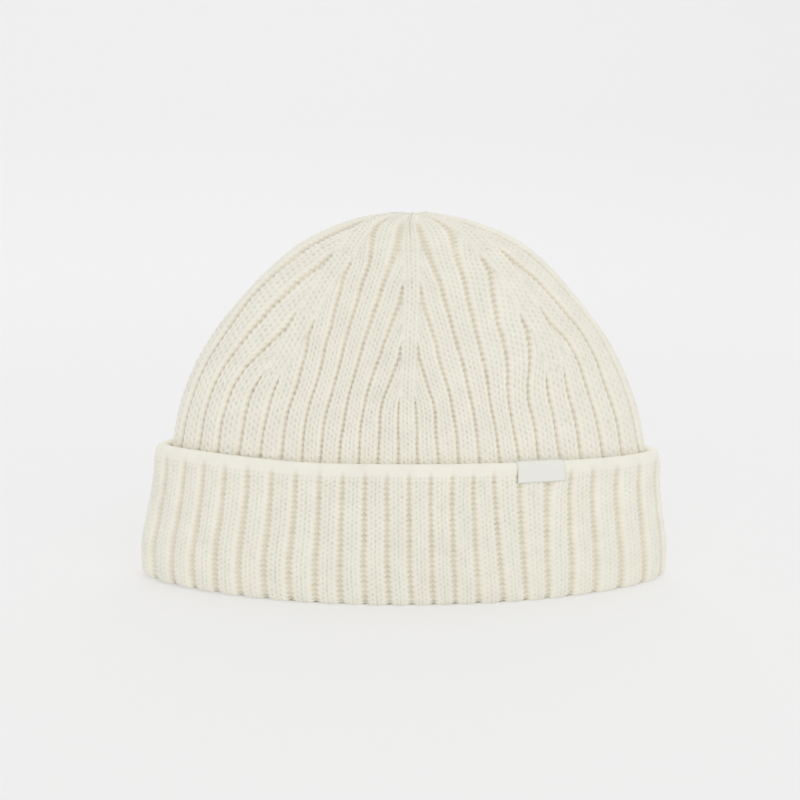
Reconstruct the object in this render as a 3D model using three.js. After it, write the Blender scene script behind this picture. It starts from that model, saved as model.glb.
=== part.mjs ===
// Ribbed beanie: a knitted dome closed by six darts, a turned-up cuff, and a small folded label.
// Millimetres, +Z up, front towards -Y. The origin is on the surface that the hat stands on,
// under the middle of its oval rim.
import * as THREE from 'three';

// Rib and dart layout. A place is counted in ribs from the middle of the front, and 12 is the right side.
const RIB_COUNT = 48;
const DART_COUNT = 6;
const RIBS_PER_DART = RIB_COUNT / DART_COUNT;
const QUARTER_RIBS = RIB_COUNT / 4;
const DART_COURSES = [13, 23, 34]; // the ribs 1, 2 and 3 away from a dart rib join it at these courses
const APEX_COURSE = 53;
const NARROWING_COURSES = 7; // a joined band of three ribs draws in to one rib over these
const FADING_COURSES = 3; // a groove runs out over these before its ribs join
const GATHER_COURSES = 6; // the last grooves run out over these below the apex
// Ribs are closer than even at the front and wider at the sides, by middle, and wider at both, by ends
const CROWN_SPREAD = { middle: 0.24, ends: 0.08 };
const CUFF_SPREAD = { middle: 0.13, ends: 0 };
const CUFF_TURN = 0.11; // the cuff's ribs stand this much further right than half way between the crown's

// Rib section
const CUFF_GROOVE = 1.5;
const CROWN_GROOVE = 1.3;
const RIB_CROWNING = 0.2;
const SHOULDER = 0.3; // half the flat top of a rib, in ribs
const NARROWEST_RIB = 0.1; // a thinner rib has no points of its own

// The hat lies a little flat, so its oval is drawn out at the sides by this share of a lens shape
const LENS = 0.33;

// Walls
const CROWN_WALL = 3;
const NUDGE = 0.01; // step for slopes, in courses and radians
const INNER_GROOVE = 0.6; // the inner face follows this share of the groove
const CUFF_WALL = 4;
const CUFF_EDGE_WALL = 3.2;
const LAYER_GAP = 0.5;
const SEAT_GAP = 0.3;

// Cuff
const CUFF_HEIGHT = 55;
const FOOT_HEIGHT = 6; // height of the fold that turns under the crown
const FOOT_WIDTH = CUFF_WALL + LAYER_GAP + CROWN_WALL;
const LEFT_LIFT = 1.4; // the rim's lift at its ends, which bends up between these shares of the half width
const RIGHT_LIFT = 0.2;
const LIFT_FROM = 0.3;
const LIFT_TO = 0.95;
const LIFT_HEIGHT = 40; // above this height the rim's lift no longer shows
const CREST = 0.03; // the cuff is this much taller in the middle of its front and back than at its ends

// Outline of the cuff's outer face by height
const CUFF_OUTLINE = [
  { height: 0, halfWidth: 111.5, halfDepth: 42, lean: 0 },
  { height: 20, halfWidth: 111.2, halfDepth: 42, lean: 0.1 },
  { height: 38, halfWidth: 108.4, halfDepth: 41, lean: 0.9 },
  { height: 46, halfWidth: 107, halfDepth: 40.3, lean: 1.4 },
  { height: 55, halfWidth: 105.5, halfDepth: 39.8, lean: 2 },
];

// Outline of the crown's outer face by course, counted up from the cuff's top edge
const CROWN_OUTLINE = [
  { course: 0, halfWidth: 99.2, halfDepth: 34.6, front: 56.5, side: 55, lean: 2 },
  { course: 6, halfWidth: 95.6, halfDepth: 34.4, front: 68.8, side: 74, lean: 2 },
  { course: 13, halfWidth: 86.2, halfDepth: 33.2, front: 82.5, side: 95.8, lean: 2.1 },
  { course: 23, halfWidth: 68.2, halfDepth: 29.6, front: 103.7, side: 119, lean: 2.7 },
  { course: 34, halfWidth: 48.4, halfDepth: 22.2, front: 126.5, side: 139.2, lean: 3.6 },
  { course: 43, halfWidth: 29.5, halfDepth: 14, front: 142, side: 147.8, lean: 3.8 },
  { course: 49, halfWidth: 13.5, halfDepth: 6.8, front: 149.7, side: 151.7, lean: 3.2 },
  { course: 53, halfWidth: 0, halfDepth: 0, front: 152.8, side: 152.8, lean: 3 },
];
const CROWN_OUTER_COURSES = [0, 6, 10, 13, 16.5, 20, 23, 26.5, 30, 34, 37.5, 41, 45, 49, 51.5];
const CROWN_INNER_COURSES = [0, 6, 13, 20, 27, 34, 41, 47, 51];

// Section of the cuff, once round: how high, how deep from the outer face, and how much of the grooves
const CUFF_SECTION = [
  { height: 55, inset: 1.6, relief: 0, fine: false },
  { height: 54.3, inset: 0.5, relief: 0, fine: false },
  { height: 52.4, inset: 0, relief: 0, fine: false },
  { height: 50.6, inset: 0.1, relief: 0.2, fine: true },
  { height: 47, inset: 0, relief: 1, fine: true },
  { height: 26, inset: 0, relief: 1, fine: true },
  { height: 5, inset: 0, relief: 1, fine: true },
  { height: 1.5, inset: 0.9, relief: 0.9, fine: true },
  { height: 0, inset: 2.7, relief: 0.4, fine: true },
  { height: 0, inset: FOOT_WIDTH - 2, relief: 0, fine: false },
  { height: 1.8, inset: FOOT_WIDTH - 0.5, relief: 0, fine: false },
  { height: FOOT_HEIGHT, inset: FOOT_WIDTH, relief: 0, fine: false },
  { height: FOOT_HEIGHT, inset: CUFF_WALL, relief: 0, fine: false },
  { height: 50, inset: CUFF_EDGE_WALL, relief: 0, fine: false },
  { height: 54.3, inset: CUFF_EDGE_WALL - 0.5, relief: 0, fine: false },
];

// Label: a strip folded over the cuff's top edge, right of the middle
const LABEL_PLACE = 5.81; // in ribs from the middle of the front
const LABEL_WIDTH = 2; // in ribs
const LABEL_COLUMNS = 6;
const LABEL_CLOTH = 0.5;
const LABEL_DROP_FRONT = 8;
const LABEL_DROP_BACK = 7;
const EDGE_RADIUS = CUFF_EDGE_WALL / 2;
const EDGE_STEPS = 6;

const FINE_OFFSETS = [-SHOULDER, 0, SHOULDER];
const COARSE_OFFSETS = [0];
const WOOL = { color: 0xe9e5d8, roughness: 0.95, metalness: 0 };
const SATIN = { color: 0xe9eae6, roughness: 0.5, metalness: 0 };

const clamp01 = (value) => THREE.MathUtils.clamp(value, 0, 1);

// Smooth reading of one column of an outline, by a cubic through its rows
function readOutline(rows, by, column, at) {
  let last = 1;
  while (last < rows.length - 1 && rows[last][by] < at) last += 1;
  const before = rows[last - 1];
  const after = rows[last];
  const step = after[by] - before[by];
  const slope = (a, b) => (b[column] - a[column]) / (b[by] - a[by]);
  const here = slope(before, after);
  const startSlope = last > 1 ? (slope(rows[last - 2], before) + here) / 2 : here;
  const endSlope = last < rows.length - 1 ? (here + slope(after, rows[last + 1])) / 2 : here;
  const t = clamp01((at - before[by]) / step);
  const t2 = t * t;
  const t3 = t2 * t;
  return (2 * t3 - 3 * t2 + 1) * before[column] + (t3 - 2 * t2 + t) * step * startSlope
    + (3 * t2 - 2 * t3) * after[column] + (t3 - t2) * step * endSlope;
}

// How far towards the front an angle lies on the oval: 1 at the front, 0 at the sides, -1 at the back
function frontShare(angle) {
  const towards = Math.cos(angle);
  return towards * (1 - LENS + LENS * Math.abs(towards));
}

// One quarter of the rim, from the middle of the front to the right side
class RimQuarter extends THREE.Curve {
  getPoint(t) {
    const angle = t * Math.PI / 2;
    const rim = CUFF_OUTLINE[0];
    return new THREE.Vector2(rim.halfWidth * Math.sin(angle), -rim.halfDepth * frontShare(angle));
  }
}
const rimQuarter = new RimQuarter();

// Angle on the oval of a place: ribs are laid out by length along the rim
function ovalAngle(place, spread) {
  const turns = Math.floor((place + RIB_COUNT / 2) / RIB_COUNT);
  const fromFront = place - turns * RIB_COUNT;
  const ribs = Math.abs(fromFront);
  const toEnd = ribs > QUARTER_RIBS ? 2 * QUARTER_RIBS - ribs : ribs;
  const even = clamp01(toEnd / QUARTER_RIBS);
  const share = even - spread.middle / Math.PI * Math.sin(Math.PI * even)
    + spread.ends / (2 * Math.PI) * Math.sin(2 * Math.PI * even);
  const angle = rimQuarter.getUtoTmapping(share) * Math.PI / 2;
  const turned = ribs > QUARTER_RIBS ? Math.PI - angle : angle;
  return Math.sign(fromFront) * turned + turns * 2 * Math.PI;
}

function rimLift(angle, height) {
  const bend = THREE.MathUtils.smoothstep(Math.abs(Math.sin(angle)), LIFT_FROM, LIFT_TO);
  const lift = angle < 0 ? LEFT_LIFT : RIGHT_LIFT;
  return lift * bend * clamp01(1 - height / LIFT_HEIGHT);
}

// Point of the cuff at a height and angle, moved in from the outer face by inset
function cuffPoint(height, angle, inset) {
  const read = (column) => readOutline(CUFF_OUTLINE, 'height', column, height);
  return new THREE.Vector3(read('lean') + (read('halfWidth') - inset) * Math.sin(angle),
    -(read('halfDepth') - inset) * frontShare(angle),
    height * (1 + CREST * Math.cos(angle) ** 2) + rimLift(angle, height));
}

// Smooth face of the crown at a course and angle; a course climbs from the front towards the sides
function crownFace(course, angle) {
  const read = (column) => readOutline(CROWN_OUTLINE, 'course', column, course);
  const climb = 1 - Math.cos(angle) ** 4;
  const front = read('front');
  return new THREE.Vector3(read('lean') + read('halfWidth') * Math.sin(angle),
    -read('halfDepth') * frontShare(angle), front + (read('side') - front) * climb);
}

function crownPoint(course, angle, inset) {
  const along = crownFace(course, angle + NUDGE).sub(crownFace(course, angle - NUDGE));
  const up = crownFace(course + NUDGE, angle).sub(crownFace(course - NUDGE, angle));
  const outward = along.cross(up).normalize();
  return crownFace(course, angle).addScaledVector(outward, -inset);
}

const stepsFromDart = (rib) => {
  const inSector = ((rib % RIBS_PER_DART) + RIBS_PER_DART) % RIBS_PER_DART;
  return Math.min(inSector, RIBS_PER_DART - inSector);
};

// Width of a rib, from 1 to 0, by how many ribs away its dart is
function ribWidth(steps, course) {
  if (steps === 0 || steps > DART_COURSES.length) return 1;
  return clamp01(1 - (course - DART_COURSES[steps - 1]) / NARROWING_COURSES);
}

// Depth of the groove outside the rib that is so many steps from its dart, from 1 to 0
function grooveShare(steps, course) {
  const gather = clamp01((APEX_COURSE - course) / GATHER_COURSES);
  if (steps >= DART_COURSES.length) return gather;
  return clamp01((DART_COURSES[steps] - course) / FADING_COURSES) * gather;
}

// Points of one crown ring: where each stands in the rib count, its angle and its groove share
function crownRingMarks(course, offsets) {
  const width = (rib) => ribWidth(stepsFromDart(rib), course);
  let sectorWidth = 0;
  for (let rib = 0; rib < RIBS_PER_DART; rib += 1) sectorWidth += width(rib);
  const unit = RIBS_PER_DART / sectorWidth;
  const marks = [];
  let edge = -unit / 2;
  for (let rib = 0; rib < RIB_COUNT; rib += 1) {
    const groove = grooveShare(Math.min(stepsFromDart(rib - 1), stepsFromDart(rib)), course);
    const own = width(rib) >= NARROWEST_RIB;
    const grooveStays = groove > 0 || (own && width(rib - 1) >= NARROWEST_RIB);
    if (grooveStays) marks.push({ key: rib - 0.5, angle: ovalAngle(edge, CROWN_SPREAD), groove, rise: 0 });
    const ribUnit = unit * width(rib);
    for (const offset of own ? offsets : []) {
      const angle = ovalAngle(edge + (0.5 + offset) * ribUnit, CROWN_SPREAD);
      marks.push({ key: rib + offset, angle, groove: 0, rise: offset === 0 ? 1 : 0 });
    }
    edge += ribUnit;
  }
  return marks;
}

function cuffRingMarks(offsets) {
  const marks = [];
  for (let rib = 0; rib < RIB_COUNT; rib += 1) {
    marks.push({ key: rib, angle: ovalAngle(rib + CUFF_TURN, CUFF_SPREAD), groove: 1, rise: 0 });
    for (const offset of offsets) {
      const key = rib + 0.5 + offset;
      const angle = ovalAngle(key + CUFF_TURN, CUFF_SPREAD);
      marks.push({ key, angle, groove: 0, rise: offset === 0 ? 1 : 0 });
    }
  }
  return marks;
}

// Skin made of rings: each ring is a list of keyed points, and neighbours are zipped by their keys
class RingSkin {
  constructor() {
    this.points = [];
    this.triangles = [];
  }

  addRing(marks, toPoint) {
    return marks.map((mark) => {
      this.points.push(toPoint(mark));
      return { key: mark.key, index: this.points.length - 1 };
    });
  }

  zip(upper, lower) {
    const at = (ring, i) => ring[i % ring.length];
    const keyAt = (ring, i) => at(ring, i).key + (i >= ring.length ? RIB_COUNT : 0);
    let u = 0;
    let l = 0;
    while (u < upper.length || l < lower.length) {
      const stepUpper = l >= lower.length || (u < upper.length && keyAt(upper, u + 1) <= keyAt(lower, l + 1));
      const corner = stepUpper ? at(upper, u + 1) : at(lower, l + 1);
      this.triangles.push(at(upper, u).index, at(lower, l).index, corner.index);
      if (stepUpper) u += 1;
      else l += 1;
    }
  }

  // A fan from a ring to one point, which stands above the ring or, with inward, under it
  close(ring, point, inward) {
    this.points.push(point);
    const tip = this.points.length - 1;
    ring.forEach((spot, i) => {
      const next = ring[(i + 1) % ring.length];
      if (inward) this.triangles.push(tip, next.index, spot.index);
      else this.triangles.push(tip, spot.index, next.index);
    });
  }

  geometry() {
    const positions = new Float32Array(this.points.flatMap((point) => [point.x, point.y, point.z]));
    const geometry = new THREE.BufferGeometry();
    geometry.setAttribute('position', new THREE.BufferAttribute(positions, 3));
    geometry.setIndex(this.triangles);
    geometry.computeVertexNormals();
    return geometry;
  }
}

function makeCrown() {
  const skin = new RingSkin();
  const outer = (course) => skin.addRing(crownRingMarks(course, FINE_OFFSETS), (mark) => crownPoint(course,
    mark.angle, mark.groove * CROWN_GROOVE - mark.rise * RIB_CROWNING));
  const inner = (course) => skin.addRing(crownRingMarks(course, COARSE_OFFSETS), (mark) => crownPoint(course,
    mark.angle, CROWN_WALL + mark.groove * CROWN_GROOVE * INNER_GROOVE));
  const hem = (offsets, inset) => skin.addRing(crownRingMarks(0, offsets),
    (mark) => cuffPoint(FOOT_HEIGHT + SEAT_GAP, mark.angle, inset));

  const outerInset = CUFF_WALL + LAYER_GAP;
  const rings = CROWN_OUTER_COURSES.slice().reverse().map(outer);
  rings.push(hem(COARSE_OFFSETS, outerInset));
  rings.push(hem(COARSE_OFFSETS, outerInset + CROWN_WALL));
  rings.push(...CROWN_INNER_COURSES.map(inner));
  for (let i = 1; i < rings.length; i += 1) skin.zip(rings[i - 1], rings[i]);
  const apex = crownFace(APEX_COURSE, 0);
  skin.close(rings[0], apex, false);
  skin.close(rings[rings.length - 1], new THREE.Vector3(apex.x, apex.y, apex.z - CROWN_WALL), true);
  return skin.geometry();
}

function makeCuff() {
  const skin = new RingSkin();
  const rings = CUFF_SECTION.map((row) => skin.addRing(
    cuffRingMarks(row.fine ? FINE_OFFSETS : COARSE_OFFSETS),
    (mark) => cuffPoint(row.height, mark.angle,
      row.inset + row.relief * (mark.groove * CUFF_GROOVE - mark.rise * RIB_CROWNING)),
  ));
  rings.forEach((ring, i) => skin.zip(ring, rings[(i + 1) % rings.length]));
  return skin.geometry();
}

// Path of the label's inner or outer face in the cuff's section, from its front end to its back end
function labelPath(clear) {
  const centreHeight = CUFF_HEIGHT - EDGE_RADIUS;
  const radius = EDGE_RADIUS + clear;
  const path = [{ height: CUFF_HEIGHT - LABEL_DROP_FRONT, inset: -clear }];
  for (let step = 0; step <= EDGE_STEPS; step += 1) {
    const turn = Math.PI * step / EDGE_STEPS;
    path.push({ height: centreHeight + radius * Math.sin(turn), inset: EDGE_RADIUS - radius * Math.cos(turn) });
  }
  path.push({ height: CUFF_HEIGHT - LABEL_DROP_BACK, inset: CUFF_EDGE_WALL + clear });
  return path;
}

function makeLabel() {
  const under = labelPath(RIB_CROWNING + SEAT_GAP);
  const over = labelPath(RIB_CROWNING + SEAT_GAP + LABEL_CLOTH).reverse();
  const loop = [...under, ...over];
  const positions = [];
  const triangles = [];
  for (let column = 0; column <= LABEL_COLUMNS; column += 1) {
    const angle = ovalAngle(LABEL_PLACE + LABEL_WIDTH * (column / LABEL_COLUMNS - 0.5), CUFF_SPREAD);
    loop.forEach((spot) => positions.push(...cuffPoint(spot.height, angle, spot.inset).toArray()));
  }
  const corner = (column, i) => column * loop.length + (i % loop.length);
  for (let column = 0; column < LABEL_COLUMNS; column += 1) {
    for (let i = 0; i < loop.length; i += 1) {
      triangles.push(corner(column, i), corner(column, i + 1), corner(column + 1, i + 1));
      triangles.push(corner(column, i), corner(column + 1, i + 1), corner(column + 1, i));
    }
  }
  for (let i = 0; i < under.length - 1; i += 1) {
    const opposite = loop.length - 1 - i;
    triangles.push(corner(0, i), corner(0, opposite), corner(0, opposite - 1));
    triangles.push(corner(0, i), corner(0, opposite - 1), corner(0, i + 1));
    triangles.push(corner(LABEL_COLUMNS, i), corner(LABEL_COLUMNS, opposite - 1), corner(LABEL_COLUMNS, opposite));
    triangles.push(corner(LABEL_COLUMNS, i), corner(LABEL_COLUMNS, i + 1), corner(LABEL_COLUMNS, opposite - 1));
  }
  const geometry = new THREE.BufferGeometry();
  geometry.setAttribute('position', new THREE.BufferAttribute(new Float32Array(positions), 3));
  geometry.setIndex(triangles);
  geometry.computeVertexNormals();
  return geometry;
}

function namedMesh(name, geometry, finish) {
  const mesh = new THREE.Mesh(geometry, new THREE.MeshStandardMaterial(finish));
  mesh.name = name;
  return mesh;
}

const beanie = new THREE.Group();
beanie.add(namedMesh('crown', makeCrown(), WOOL));
beanie.add(namedMesh('cuff', makeCuff(), WOOL));
beanie.add(namedMesh('label', makeLabel(), SATIN));

export default beanie;
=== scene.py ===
# %% [markdown]
# A ribbed beanie, from the yarn outwards
#
# The hat is one tube of rib knit. It is closed at the top by six darts, and its lower end is turned up as a
# cuff, with a small satin label folded over the cuff's edge. A knit is a sheet of loops, so both big pieces
# here start as a flat grid: its columns are the wales, its rows the courses. The grid is rolled up, sewn at
# its seam, and every stitch gets its place from the same few sizes. The exact solids of the hat are loaded
# first, and everything is drawn around them in metres.

# %% Load the solids
import math

import bpy
import mathutils
import numpy as np
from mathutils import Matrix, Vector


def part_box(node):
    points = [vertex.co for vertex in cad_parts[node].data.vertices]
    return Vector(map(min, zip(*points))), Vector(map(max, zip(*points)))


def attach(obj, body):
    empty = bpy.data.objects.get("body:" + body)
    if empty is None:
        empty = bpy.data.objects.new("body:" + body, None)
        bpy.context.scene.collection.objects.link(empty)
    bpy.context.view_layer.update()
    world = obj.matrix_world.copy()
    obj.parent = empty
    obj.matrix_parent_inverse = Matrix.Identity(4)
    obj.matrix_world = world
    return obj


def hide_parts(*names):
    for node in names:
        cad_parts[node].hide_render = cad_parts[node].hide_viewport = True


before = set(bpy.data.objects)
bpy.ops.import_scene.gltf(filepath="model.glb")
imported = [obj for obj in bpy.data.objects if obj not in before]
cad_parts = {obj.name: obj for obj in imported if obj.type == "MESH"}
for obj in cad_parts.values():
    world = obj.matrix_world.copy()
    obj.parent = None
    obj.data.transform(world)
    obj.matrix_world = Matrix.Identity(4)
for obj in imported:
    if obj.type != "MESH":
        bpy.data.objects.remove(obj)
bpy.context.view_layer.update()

bpy.ops.object.select_all(action="DESELECT")
MM = 0.001


def in_mm(corner):
    """A corner in mm, rounded for printing."""
    return [round(v / MM, 1) for v in corner]


for name in sorted(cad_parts):
    low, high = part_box(name)
    print("solid", name, "from", in_mm(low), "to", in_mm(high), "mm")

# %% [markdown]
# The camera comes first, because everything else is judged through it. The photo was taken from in front,
# at the height of the hat's top, looking down a little. A camera at that spot is pitched down until the hat
# sits at the same height in the picture. Its focal length is written in pixels of the 800 pixel wide
# picture, as it was measured.

# %% Camera
PICTURE_WIDTH = 800  # pixels
FOCAL_PIXELS = 1138
SENSOR_WIDTH = 36  # mm
CAMERA_PLACE = (-1.58, -470, 154.8)  # mm
CAMERA_PITCH = 9.58  # degrees below level

bpy.ops.object.camera_add(
    location=[v * MM for v in CAMERA_PLACE], rotation=(math.radians(90 - CAMERA_PITCH), 0, 0)
)
camera = bpy.context.object
camera.name = "camera"
camera.data.sensor_width = SENSOR_WIDTH
camera.data.lens = FOCAL_PIXELS / PICTURE_WIDTH * SENSOR_WIDTH
bpy.context.scene.camera = camera
print("lens", round(camera.data.lens, 1), "mm")

# %% [markdown]
# The hat's plan is an oval with a touch of a lens in it, because such a hat never quite loses the fold it
# was packed along. Ribs are spread round it by length, a little closer in front than at the ends. A place
# is counted in ribs from the middle of the front, so place 12 is the right end and place 24 the middle of
# the back.

# %% Plan of the hat: where a place lies on the oval
RIB_COUNT = 48
QUARTER_RIBS = RIB_COUNT / 4
LENS = 0.33  # 0 for an ellipse, more for an oval that is more pointed at its ends
RIM_HALF_WIDTH = 111.5  # mm
RIM_HALF_DEPTH = 42
ARC_STEPS = 400


def front_share(angle):
    """How far towards the front an angle lies: 1 at the front, 0 at the sides, -1 at the back."""
    towards = np.cos(angle)
    return towards * (1 - LENS + LENS * np.abs(towards))


quarter_angles = np.linspace(0, math.pi / 2, ARC_STEPS)
quarter_x = RIM_HALF_WIDTH * np.sin(quarter_angles)
quarter_y = RIM_HALF_DEPTH * front_share(quarter_angles)
quarter_lengths = np.concatenate([[0], np.cumsum(np.hypot(np.diff(quarter_x), np.diff(quarter_y)))])
rim_length = 4 * quarter_lengths[-1]
quarter_lengths /= quarter_lengths[-1]


def oval_angle(place, spread):
    """The angle on the oval of places counted in ribs.

    A spread's "middle" is how much closer the ribs lie in front and how much wider at the ends. Its "ends" is
    how much wider they lie at both of them, and how much closer half way between.
    """
    turns = np.floor((place + RIB_COUNT / 2) / RIB_COUNT)
    side_place = place - turns * RIB_COUNT
    ribs = np.abs(side_place)
    behind = ribs > QUARTER_RIBS
    even = np.clip(np.where(behind, 2 * QUARTER_RIBS - ribs, ribs) / QUARTER_RIBS, 0, 1)
    share = even - spread["middle"] / math.pi * np.sin(math.pi * even)
    share = share + spread["ends"] / (2 * math.pi) * np.sin(2 * math.pi * even)
    angle = np.interp(share, quarter_lengths, quarter_angles)
    return np.sign(side_place) * np.where(behind, math.pi - angle, angle) + turns * 2 * math.pi


rib_pitch = rim_length / RIB_COUNT
print("rim length", round(rim_length), "mm, of which a rib and its groove take", round(rib_pitch, 1), "mm")

# %% [markdown]
# The outline is read from two short tables in mm, one up the cuff by height and one up the crown by course,
# which is one row of loops. They keep within about a millimetre and a half of the solids, and within three
# round the apex, where the knit puckers as it is drawn shut. A smooth curve through the rows fills in the
# rest.

# %% Outline of the hat
CUFF_OUTLINE = [
    {"height": 0, "half_width": 111.8, "half_depth": 42, "lean": -0.2},
    {"height": 9, "half_width": 112, "half_depth": 42, "lean": -0.3},
    {"height": 17, "half_width": 111.3, "half_depth": 42, "lean": -0.2},
    {"height": 25, "half_width": 109.6, "half_depth": 41.8, "lean": 0.2},
    {"height": 34, "half_width": 107.9, "half_depth": 41.2, "lean": 0.6},
    {"height": 42, "half_width": 106.7, "half_depth": 40.6, "lean": 0.9},
    {"height": 50, "half_width": 106.3, "half_depth": 40.1, "lean": 1.4},
    {"height": 55, "half_width": 105.6, "half_depth": 39.8, "lean": 1.8},
]
CROWN_OUTLINE = [
    {"course": 0, "half_width": 99.2, "half_depth": 34.6, "front": 56.5, "side": 55, "lean": 2},
    {"course": 6, "half_width": 95, "half_depth": 34.4, "front": 68.8, "side": 74, "lean": 1.8},
    {"course": 13, "half_width": 85.3, "half_depth": 33.2, "front": 82.5, "side": 95.8, "lean": 1.8},
    {"course": 23, "half_width": 68, "half_depth": 29.6, "front": 103.7, "side": 119, "lean": 2.2},
    {"course": 34, "half_width": 47.8, "half_depth": 22.2, "front": 126.5, "side": 138.4, "lean": 3},
    {"course": 43, "half_width": 29.5, "half_depth": 14, "front": 141.8, "side": 147.7, "lean": 2.6},
    {"course": 49, "half_width": 15, "half_depth": 8, "front": 149.6, "side": 151.5, "lean": 2.4},
    {"course": 51.5, "half_width": 8, "half_depth": 4.6, "front": 151.8, "side": 152, "lean": 3.3},
    {"course": 53, "half_width": 0, "half_depth": 0, "front": 152.3, "side": 152.3, "lean": 4},
]
APEX_COURSE = 53
CUFF_HEIGHT = 55  # mm
CREST = 0.03  # the cuff is this share taller in the middle of its front and back
LEFT_LIFT = {"rim": 0.9, "edge": 2.6}  # mm by which the left end bends up, at the rim and at the cuff's edge
RIGHT_LIFT = {"rim": 0.2, "edge": 0}
LIFT_FROM = 0.3  # share of the half width at which an end begins to bend up
LIFT_TO = 0.95
CLIMB_POWER = 4  # a course stays low across the front, and climbs near the sides
NUDGE = 0.01  # courses and radians: the step over which the crown's slope is measured


def read_outline(rows, by, column, at):
    """A smooth reading of one column of an outline."""
    x = np.array([row[by] for row in rows], float)
    y = np.array([row[column] for row in rows], float)
    secants = np.diff(y) / np.diff(x)
    slopes = np.concatenate([secants[:1], (secants[:-1] + secants[1:]) / 2, secants[-1:]])
    i = np.clip(np.searchsorted(x, at) - 1, 0, len(x) - 2)
    step = x[i + 1] - x[i]
    t = np.clip((at - x[i]) / step, 0, 1)
    t2 = t * t
    t3 = t2 * t
    start = (2 * t3 - 3 * t2 + 1) * y[i] + (t3 - 2 * t2 + t) * step * slopes[i]
    return start + (3 * t2 - 2 * t3) * y[i + 1] + (t3 - t2) * step * slopes[i + 1]


def ramp(value, start, end):
    """0 before start, 1 after end, and smooth between."""
    t = np.clip((value - start) / (end - start), 0, 1)
    return t * t * (3 - 2 * t)


def hump(value, middle, reach):
    """1 at the middle, and falling away smoothly on both sides."""
    return np.exp(-(((value - middle) / reach) ** 2))


def cuff_point(height, angle, inset):
    """Points of the cuff in mm, moved in from its outer face by inset."""
    half_width, half_depth, lean = (
        read_outline(CUFF_OUTLINE, "height", column, height)
        for column in ("half_width", "half_depth", "lean")
    )
    bend = ramp(np.abs(np.sin(angle)), LIFT_FROM, LIFT_TO)
    up = height / CUFF_HEIGHT
    left, right = (lift["rim"] + (lift["edge"] - lift["rim"]) * up for lift in (LEFT_LIFT, RIGHT_LIFT))
    lift = np.where(np.sin(angle) < 0, left, right) * bend
    return np.stack([
        lean + (half_width - inset) * np.sin(angle),
        -(half_depth - inset) * front_share(angle),
        height * (1 + CREST * np.cos(angle) ** 2) + lift,
    ], -1)


def crown_face(course, angle):
    """The crown's smooth outer face in mm. A course climbs from the front towards the sides."""
    half_width, half_depth, front, side, lean = (
        read_outline(CROWN_OUTLINE, "course", column, course)
        for column in ("half_width", "half_depth", "front", "side", "lean")
    )
    climb = 1 - np.cos(angle) ** CLIMB_POWER
    return np.stack([
        lean + half_width * np.sin(angle),
        -half_depth * front_share(angle),
        front + (side - front) * climb,
    ], -1)


def crown_point(course, angle, inset):
    """Points of the crown in mm, moved in along the normal of its outer face by inset."""
    low = np.clip(course, NUDGE, APEX_COURSE - 2 * NUDGE)
    along = crown_face(low, angle + NUDGE) - crown_face(low, angle - NUDGE)
    up = crown_face(low + NUDGE, angle) - crown_face(low - NUDGE, angle)
    outward = np.cross(along, up)
    outward /= np.linalg.norm(outward, axis=-1, keepdims=True)
    return crown_face(course, angle) - outward * inset[..., None]


print("apex at", crown_face(np.full(1, APEX_COURSE), np.zeros(1))[0], "mm")

# %% [markdown]
# A rib is two wales of plain stitches, and a groove two wales of purl stitches, which the knit draws in
# until the ribs nearly touch. A plain stitch is a V. Its two legs are rounded ridges, and small dark gaps
# open where the legs meet and where they touch the next wale. One plain wale has six columns, so that each
# leg has a rise, a back and a fall, and three rows make a course. The rows are folded to a V at every wale,
# so that the mesh's own edges run along the yarn. The heights below are in mm, for the three rows of a
# course from its gap up.

# %% One stitch: its columns, its slant and its relief
PLAIN_WALES = 2
PURL_WALES = 2
WALE_COLUMNS = 6
COURSE_ROWS = 3
SLANT = 0.62  # courses by which a leg climbs across half a wale
STITCH_HEIGHTS = {
    "edge": (-0.05, 0.3, 0.2),
    "leg": (0.18, 0.5, 0.44),
    "heart": (-0.42, 0.16, 0.1),
    "between": (-0.5, 0.1, 0.06),
    "purl_side": (-0.4, 0.35, 0.3),
    "purl_middle": (0.35, -0.4, 0.0),
}
WALE = ["leg", "leg", "heart", "leg", "leg"]
PITCH = ["edge"] + WALE + ["between"] + WALE + ["edge", "purl_side", "purl_middle", "purl_side"]
RIB_CROWNING = 0.2  # mm by which a rib is higher along its middle than at its edges
SHOULDER_POWER = 4  # a rib stays high over most of its width, and drops near its edges
EDGE_DROP = 0.45  # share of a groove's depth that a rib's edge reaches down
UNEVEN = 0.12  # no two stitches are quite as high
STITCH_SEED = 11

PITCH_COLUMNS = len(PITCH)
RIB_COLUMNS = PLAIN_WALES * WALE_COLUMNS
GROOVE_COLUMNS = PITCH_COLUMNS - RIB_COLUMNS
PITCH_WALES = PLAIN_WALES + PURL_WALES
columns = RIB_COUNT * PITCH_COLUMNS
pitch_column = np.arange(PITCH_COLUMNS)
plain_column = pitch_column <= RIB_COLUMNS
fold = np.where(plain_column, np.abs(2 * (pitch_column % WALE_COLUMNS) / WALE_COLUMNS - 1), 1.0)
folds = np.tile(fold, RIB_COUNT)
pitch_heights = np.array([STITCH_HEIGHTS[kind] for kind in PITCH]).T
at_edge = np.tile([kind == "edge" for kind in PITCH], RIB_COUNT)  # here the ribs must meet exactly
unevenness = np.random.default_rng(STITCH_SEED)


def every_row(first, last):
    """The courses of all rows from the first to the last."""
    return np.arange(first, last + 0.5 / COURSE_ROWS, 1 / COURSE_ROWS)


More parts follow.
